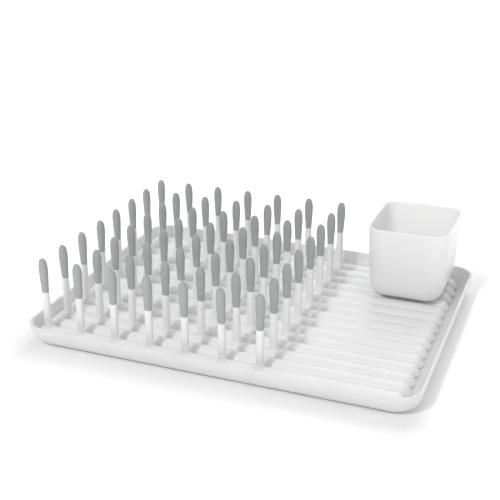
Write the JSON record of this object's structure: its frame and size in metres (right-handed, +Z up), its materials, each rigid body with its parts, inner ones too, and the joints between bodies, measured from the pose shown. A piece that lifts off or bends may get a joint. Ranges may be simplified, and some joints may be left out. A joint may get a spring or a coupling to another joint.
{
  "type": "bottle drying rack",
  "caption": "Shallow drip tray with a lift-out ribbed rack of upright soft-tipped pegs for drying bottles, and a loose rounded cup for small parts.",
  "frame": {"origin": "centre of the tray's underside, on the table that it stands on", "axes": "+X along the ribs from the pegs to the open drying area, +Y from front to back, +Z up"},
  "size_m": [0.336, 0.258, 0.0792],
  "materials": {
    "tray_plastic": "white satin moulded plastic",
    "rack_plastic": "white satin moulded plastic",
    "cup_plastic": "white satin moulded plastic",
    "tip_rubber": "mid grey soft-touch elastomer"
  },
  "bodies": {
    "tray": {"drip_tray": "tray_plastic"},
    "rack": {"peg_rack": "rack_plastic", "peg_tip_row1_col1": "tip_rubber", "peg_tip_row1_col2": "tip_rubber", "peg_tip_row1_col3": "tip_rubber", "peg_tip_row1_col4": "tip_rubber", "peg_tip_row1_col5": "tip_rubber", "peg_tip_row1_col6": "tip_rubber", "peg_tip_row1_col7": "tip_rubber", "peg_tip_row2_col1": "tip_rubber", "peg_tip_row2_col2": "tip_rubber", "peg_tip_row2_col3": "tip_rubber", "peg_tip_row2_col4": "tip_rubber", "peg_tip_row2_col5": "tip_rubber", "peg_tip_row2_col6": "tip_rubber", "peg_tip_row2_col7": "tip_rubber", "peg_tip_row3_col1": "tip_rubber", "peg_tip_row3_col2": "tip_rubber", "peg_tip_row3_col3": "tip_rubber", "peg_tip_row3_col4": "tip_rubber", "peg_tip_row3_col5": "tip_rubber", "peg_tip_row3_col6": "tip_rubber", "peg_tip_row3_col7": "tip_rubber", "peg_tip_row4_col1": "tip_rubber", "peg_tip_row4_col2": "tip_rubber", "peg_tip_row4_col3": "tip_rubber", "peg_tip_row4_col4": "tip_rubber", "peg_tip_row4_col5": "tip_rubber", "peg_tip_row4_col6": "tip_rubber", "peg_tip_row4_col7": "tip_rubber", "peg_tip_row5_col1": "tip_rubber", "peg_tip_row5_col2": "tip_rubber", "peg_tip_row5_col3": "tip_rubber", "peg_tip_row5_col4": "tip_rubber", "peg_tip_row5_col5": "tip_rubber", "peg_tip_row5_col6": "tip_rubber", "peg_tip_row5_col7": "tip_rubber", "peg_tip_row6_col1": "tip_rubber", "peg_tip_row6_col2": "tip_rubber", "peg_tip_row6_col3": "tip_rubber", "peg_tip_row6_col4": "tip_rubber", "peg_tip_row6_col5": "tip_rubber", "peg_tip_row6_col6": "tip_rubber", "peg_tip_row6_col7": "tip_rubber", "peg_tip_row7_col1": "tip_rubber", "peg_tip_row7_col2": "tip_rubber", "peg_tip_row7_col3": "tip_rubber", "peg_tip_row7_col4": "tip_rubber", "peg_tip_row7_col5": "tip_rubber", "peg_tip_row7_col6": "tip_rubber", "peg_tip_row7_col7": "tip_rubber", "peg_tip_row8_col1": "tip_rubber", "peg_tip_row8_col2": "tip_rubber", "peg_tip_row8_col3": "tip_rubber", "peg_tip_row8_col4": "tip_rubber", "peg_tip_row8_col5": "tip_rubber", "peg_tip_row8_col6": "tip_rubber", "peg_tip_row8_col7": "tip_rubber"},
    "cup": {"cup": "cup_plastic"}
  },
  "joints": [
    {"name": "rack_lift", "type": "slide", "parent": "tray", "child": "rack", "axis": [0, 0, 1], "range_m": [0, 0.06]},
    {"name": "cup_lift", "type": "slide", "parent": "rack", "child": "cup", "axis": [0, 0, 1], "range_m": [0, 0.08]}
  ]
}
